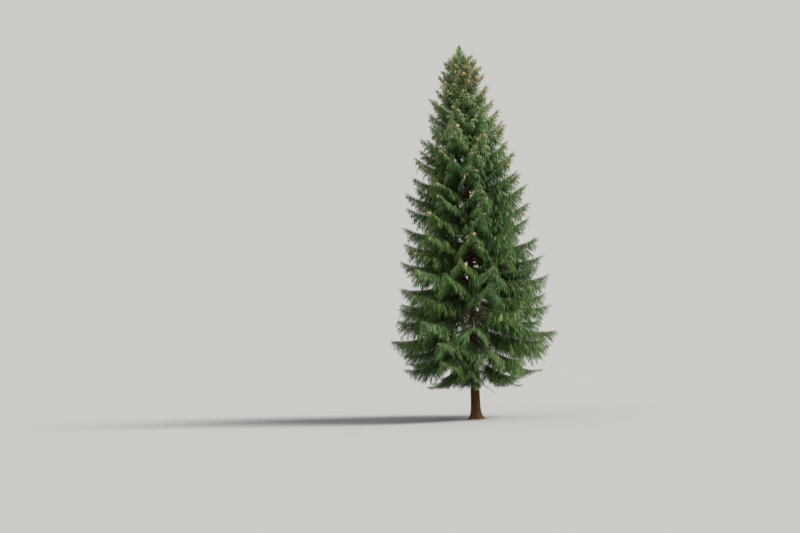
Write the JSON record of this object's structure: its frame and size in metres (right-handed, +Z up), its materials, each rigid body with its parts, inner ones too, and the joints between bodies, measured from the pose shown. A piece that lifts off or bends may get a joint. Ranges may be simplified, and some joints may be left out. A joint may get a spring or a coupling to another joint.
{
  "type": "norway spruce",
  "caption": "Tall evergreen conifer with a straight flared trunk, sagging boughs and a full pointed crown.",
  "frame": {"origin": "middle of the flat cut under the trunk, at ground level", "axes": "+Z up along the trunk, -Y towards the viewer of the picture, +X to the viewer's right"},
  "size_m": [9.624, 9.9345, 22],
  "materials": {
    "bark": "rough",
    "needles": "matte",
    "cones": "rough"
  },
  "bodies": {
    "root": {"trunk": "bark", "bough_1": "bark", "bough_2": "bark", "bough_3": "bark", "bough_4": "bark", "bough_5": "bark", "bough_6": "bark", "bough_7": "bark", "bough_8": "bark", "bough_9": "bark", "bough_10": "bark", "bough_11": "bark", "bough_12": "bark", "needles_1": "needles", "needles_2": "needles", "needles_3": "needles", "needles_4": "needles", "needles_5": "needles", "needles_6": "needles", "needles_7": "needles", "needles_8": "needles", "needles_9": "needles", "needles_10": "needles", "needles_11": "needles", "needles_12": "needles", "needles_13": "needles", "needles_14": "needles", "needles_15": "needles", "needles_16": "needles", "needles_17": "needles", "needles_18": "needles", "needles_19": "needles", "needles_20": "needles", "needles_21": "needles", "needles_22": "needles", "needles_23": "needles", "needles_24": "needles", "needles_25": "needles", "needles_26": "needles", "needles_27": "needles", "needles_28": "needles", "needles_29": "needles", "needles_30": "needles", "needles_31": "needles", "needles_32": "needles", "needles_33": "needles", "needles_34": "needles", "needles_35": "needles", "needles_36": "needles", "needles_37": "needles", "needles_38": "needles", "needles_39": "needles", "needles_40": "needles", "needles_41": "needles", "needles_42": "needles", "needles_43": "needles", "needles_44": "needles", "needles_leader": "needles"}
  },
  "joints": []
}
